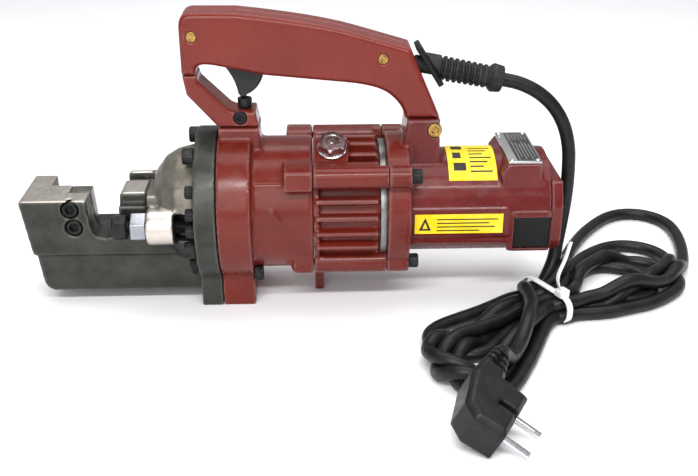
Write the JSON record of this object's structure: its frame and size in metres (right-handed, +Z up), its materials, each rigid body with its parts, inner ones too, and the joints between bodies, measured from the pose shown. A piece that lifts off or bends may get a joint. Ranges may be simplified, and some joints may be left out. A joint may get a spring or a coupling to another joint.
{
  "type": "portable electric-hydraulic rebar cutter",
  "caption": "Hand-held electric-hydraulic cutter for reinforcing bar: shear head with sliding die, pump, finned housing, motor, trigger handle and mains lead in a tied hank.",
  "frame": {"origin": "on the floor under the middle of the machine without its lead: halfway between the jaw front and the end cover, on the ram and motor axis", "axes": "+X from the jaws to the motor end cover, -Y the side of the die screws and the stopper bolt, +Z up"},
  "size_m": [0.5293, 0.3594, 0.2162],
  "materials": {
    "cast_steel": "sand-cast grey-green steel, machined on top",
    "red_enamel": "oxide red gloss enamel over cast aluminium",
    "die_steel": "ground tool steel",
    "bright_steel": "bright turned steel",
    "black_oxide": "black oxide screws",
    "plated_steel": "bright plated",
    "aluminium": "machined aluminium",
    "black_plastic": "fine moulded texture",
    "black_rubber": "moulded rubber",
    "brass": "passivated brass-coloured screw",
    "copper": "commutator copper",
    "carbon": "pressed carbon",
    "white_nylon": "natural nylon",
    "plate_metal": "printed plate without any text",
    "laminated_steel": "stacked laminations"
  },
  "bodies": {
    "frame_body": {"cutter_head": "cast_steel", "fixed_die": "die_steel", "die_screw_upper": "black_oxide", "die_screw_lower": "black_oxide", "head_screw_1": "black_oxide", "head_screw_2": "black_oxide", "head_screw_3": "black_oxide", "head_screw_4": "black_oxide", "cylinder_liner": "bright_steel", "return_spring": "bright_steel", "pump_case": "red_enamel", "pump_block": "cast_steel", "oil_bladder": "black_rubber", "finned_housing": "red_enamel", "oil_plug": "plated_steel", "motor_adapter": "aluminium", "front_bearing": "bright_steel", "motor_housing": "red_enamel", "long_bolt_upper_near": "black_oxide", "long_bolt_lower_near": "black_oxide", "long_bolt_upper_far": "black_oxide", "long_bolt_lower_far": "black_oxide", "stator_core": "laminated_steel", "brush_near": "carbon", "brush_far": "carbon", "brush_cover_near": "black_plastic", "brush_cover_far": "black_plastic", "rear_bearing": "bright_steel", "end_cover": "red_enamel", "terminal_cover": "plate_metal", "handle_near_shell": "red_enamel", "handle_far_shell": "red_enamel", "handle_screw_front": "brass", "handle_screw_rear": "brass", "handle_lug_screw": "black_oxide", "front_bracket": "red_enamel", "bracket_screw": "black_oxide", "bracket_side_screw": "black_oxide", "switch_body": "black_plastic", "gland_plate": "black_rubber", "cord_boot": "black_rubber", "cord_tube": "black_rubber", "cord_hank": "black_rubber", "cable_tie": "white_nylon", "plug_body": "black_rubber", "plug_pins": "plated_steel"},
    "ram_body": {"ram": "bright_steel", "ram_seal": "black_rubber", "moving_die": "die_steel", "moving_die_screw": "black_oxide"},
    "trigger_body": {"trigger": "black_plastic"},
    "stopper_body": {"stopper_bolt": "black_oxide"},
    "lock_nut_body": {"stopper_lock_nut": "black_oxide"},
    "armature_body": {"armature": "laminated_steel", "commutator": "copper", "cooling_fan": "black_plastic"},
    "eccentric_body": {"eccentric_shaft": "bright_steel", "drive_gear": "bright_steel"},
    "plunger_body": {"pump_plunger": "bright_steel"}
  },
  "joints": [
    {"name": "ram_slide", "type": "slide", "parent": "frame_body", "child": "ram_body", "axis": [-1, 0, 0], "range_m": [0, 0.0255], "stiffness_N_per_m": 1500, "springref_m": -0.01, "deforming": ["return_spring"]},
    {"name": "trigger_pull", "type": "hinge", "parent": "frame_body", "child": "trigger_body", "pos_m": [-0.048, 0, 0.188], "axis": [0, -1, 0], "range_deg": [0, 8], "stiffness_Nm_per_rad": 0.6, "springref_deg": -5.73},
    {"name": "stopper_screw", "type": "slide", "parent": "frame_body", "child": "stopper_body", "axis": [-1, 0, 0], "range_m": [0, 0.012]},
    {"name": "lock_nut_spin", "type": "hinge", "parent": "frame_body", "child": "lock_nut_body", "pos_m": [-0.108, -0.0374, 0.0685], "axis": [1, 0, 0], "continuous": true},
    {"name": "motor_spin", "type": "hinge", "parent": "frame_body", "child": "armature_body", "pos_m": [0.1, 0, 0.0725], "axis": [1, 0, 0], "continuous": true},
    {"name": "eccentric_spin", "type": "hinge", "parent": "frame_body", "child": "eccentric_body", "pos_m": [0.02, 0, 0.05], "axis": [1, 0, 0], "continuous": true},
    {"name": "plunger_stroke", "type": "slide", "parent": "frame_body", "child": "plunger_body", "axis": [0, 0, 1], "range_m": [0, 0.004]}
  ],
  "couplings": [
    {"joint": "eccentric_spin", "follows": "motor_spin", "ratio": -0.2963}
  ]
}
